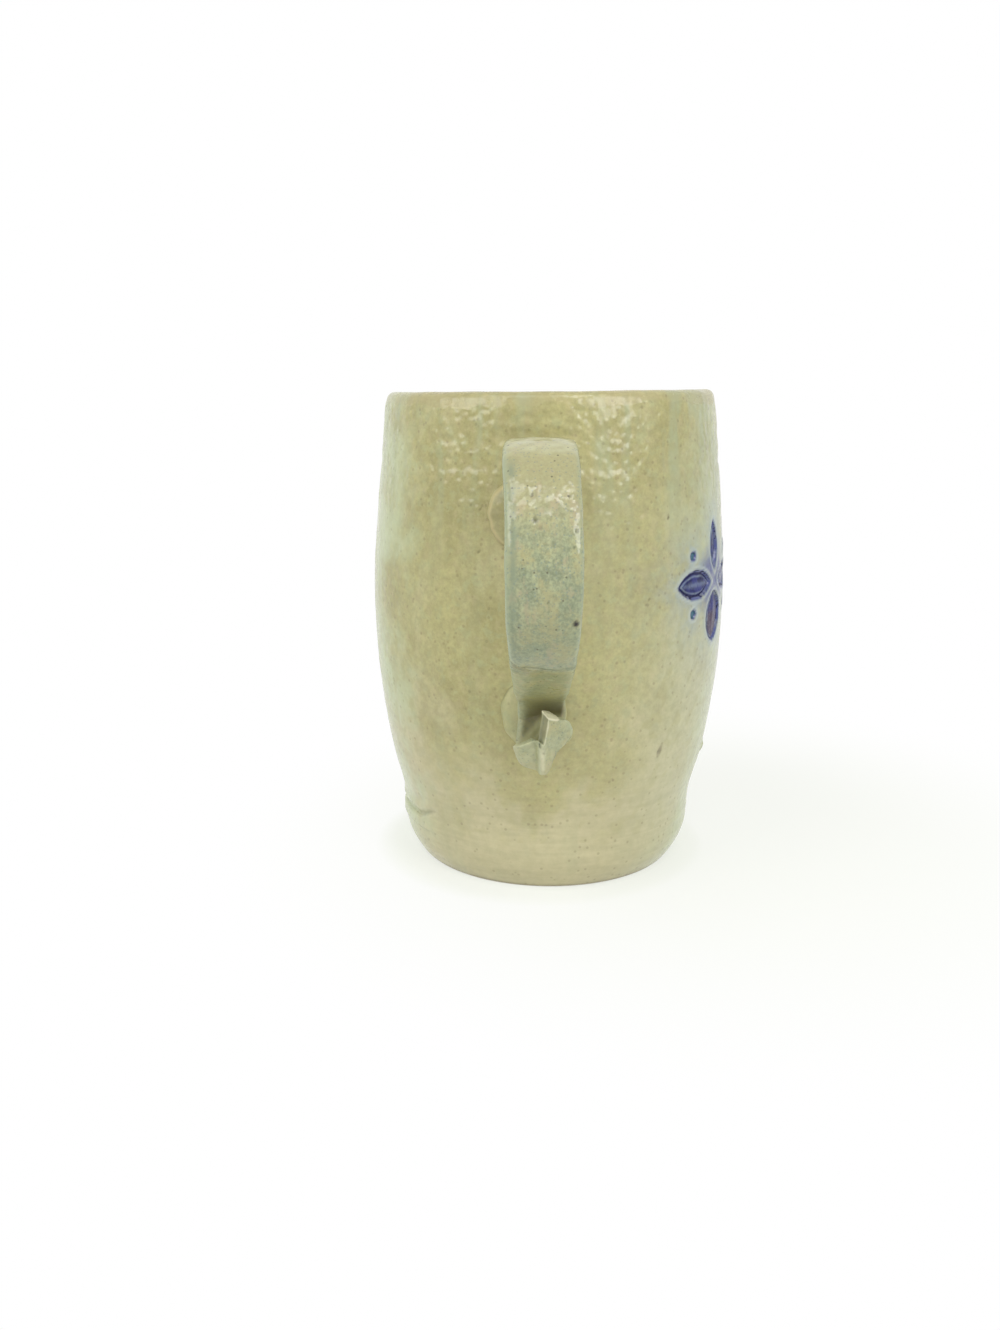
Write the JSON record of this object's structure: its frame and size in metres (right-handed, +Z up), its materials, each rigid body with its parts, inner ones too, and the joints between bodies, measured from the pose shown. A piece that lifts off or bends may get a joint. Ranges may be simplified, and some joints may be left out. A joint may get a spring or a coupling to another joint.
{
  "type": "stoneware pitcher",
  "caption": "Barrel-shaped salt-glazed stoneware pitcher with a foot band, a strap handle with a curled tail, a low pouring lip and a cut flower filled with cobalt slip.",
  "frame": {"origin": "centre of the flat base, on the barrel's axis, at the table", "axes": "+Z up along the barrel's axis; the handle stands on the -X side and the pouring lip faces +X; the cut flower is on the -Y side"},
  "size_m": [0.1344, 0.094, 0.125],
  "materials": {
    "salt_glaze": "gloss salt glaze over grey-olive stoneware, with an orange-peel surface and iron specks",
    "handle_glaze": "gloss salt glaze over grey-green stoneware, with pits and tan patches",
    "cobalt_slip": "gloss salt glaze over cobalt slip"
  },
  "bodies": {
    "root": {"body": "salt_glaze", "foot_band": "salt_glaze", "upper_joint_pad": "salt_glaze", "lower_joint_pad": "salt_glaze", "handle_strap": "handle_glaze", "handle_tail_curl": "handle_glaze", "cobalt_left_petal": "cobalt_slip", "cobalt_right_petal": "cobalt_slip", "cobalt_top_petal": "cobalt_slip", "cobalt_bottom_petal": "cobalt_slip", "cobalt_dots": "cobalt_slip"}
  },
  "joints": []
}
